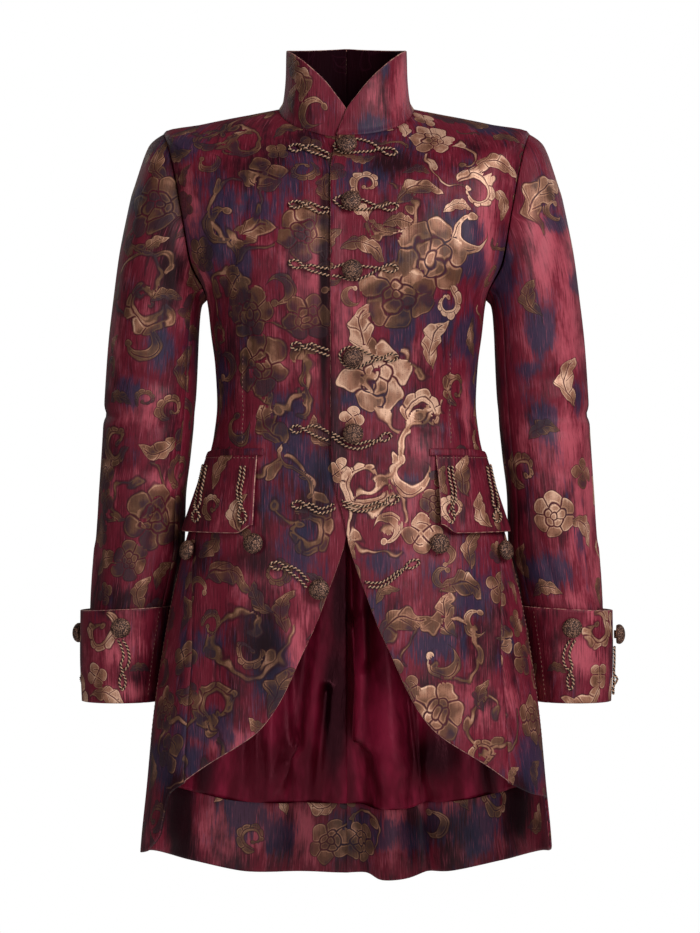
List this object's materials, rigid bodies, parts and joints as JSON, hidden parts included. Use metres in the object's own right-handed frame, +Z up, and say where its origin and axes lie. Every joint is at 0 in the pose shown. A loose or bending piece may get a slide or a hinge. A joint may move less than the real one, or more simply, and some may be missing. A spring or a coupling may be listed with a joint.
{
  "type": "tailored jacket",
  "caption": "Fitted hollow tailcoat jacket with stand collar, set-in sleeves, turned-back cuffs, pocket flaps, corded frog fastenings, domed buttons and a long flared back skirt.",
  "frame": {"origin": "middle of the neck opening, level with the two points where the shoulder seams meet the collar", "axes": "+Z up along the wearer's height, the front faces -Y, +X is the wearer's left"},
  "size_m": [0.6073, 0.3325, 0.9299],
  "materials": {
    "brocade": "woven brocade with a soft sheen",
    "lining_satin": "smooth satin",
    "button_bronze": "antiqued",
    "twisted_cord": "two-colour twist"
  },
  "bodies": {
    "root": {"front_left": "brocade", "side_back_left": "brocade", "back_left": "brocade", "hem_facing_left": "brocade", "collar_left": "brocade", "sleeve_upper_left": "brocade", "sleeve_under_left": "brocade", "cuff_left": "brocade", "pocket_flap_left": "brocade", "pocket_welt_left": "brocade", "tail_lining_left": "lining_satin", "hip_button_front_left": "button_bronze", "flap_cord_front_left": "twisted_cord", "hip_button_side_left": "button_bronze", "flap_cord_side_left": "twisted_cord", "cuff_button_front_left": "button_bronze", "cuff_cord_front_left": "twisted_cord", "cuff_button_outer_left": "button_bronze", "cuff_cord_outer_left": "twisted_cord", "frog_left_1": "twisted_cord", "frog_left_2": "twisted_cord", "frog_left_3": "twisted_cord", "frog_left_4": "twisted_cord", "frog_left_5": "twisted_cord", "frog_left_6": "twisted_cord", "frog_left_7": "twisted_cord", "front_right": "brocade", "side_back_right": "brocade", "back_right": "brocade", "hem_facing_right": "brocade", "collar_right": "brocade", "sleeve_upper_right": "brocade", "sleeve_under_right": "brocade", "cuff_right": "brocade", "pocket_flap_right": "brocade", "pocket_welt_right": "brocade", "tail_lining_right": "lining_satin", "hip_button_front_right": "button_bronze", "flap_cord_front_right": "twisted_cord", "hip_button_side_right": "button_bronze", "flap_cord_side_right": "twisted_cord", "cuff_button_front_right": "button_bronze", "cuff_cord_front_right": "twisted_cord", "cuff_button_outer_right": "button_bronze", "cuff_cord_outer_right": "twisted_cord", "frog_right_1": "twisted_cord", "frog_right_2": "twisted_cord", "frog_right_3": "twisted_cord", "frog_right_4": "twisted_cord", "frog_right_5": "twisted_cord", "frog_right_6": "twisted_cord", "frog_right_7": "twisted_cord", "front_button_1": "button_bronze", "front_button_2": "button_bronze", "front_button_3": "button_bronze", "front_button_4": "button_bronze", "front_button_5": "button_bronze", "front_button_6": "button_bronze"}
  },
  "joints": []
}
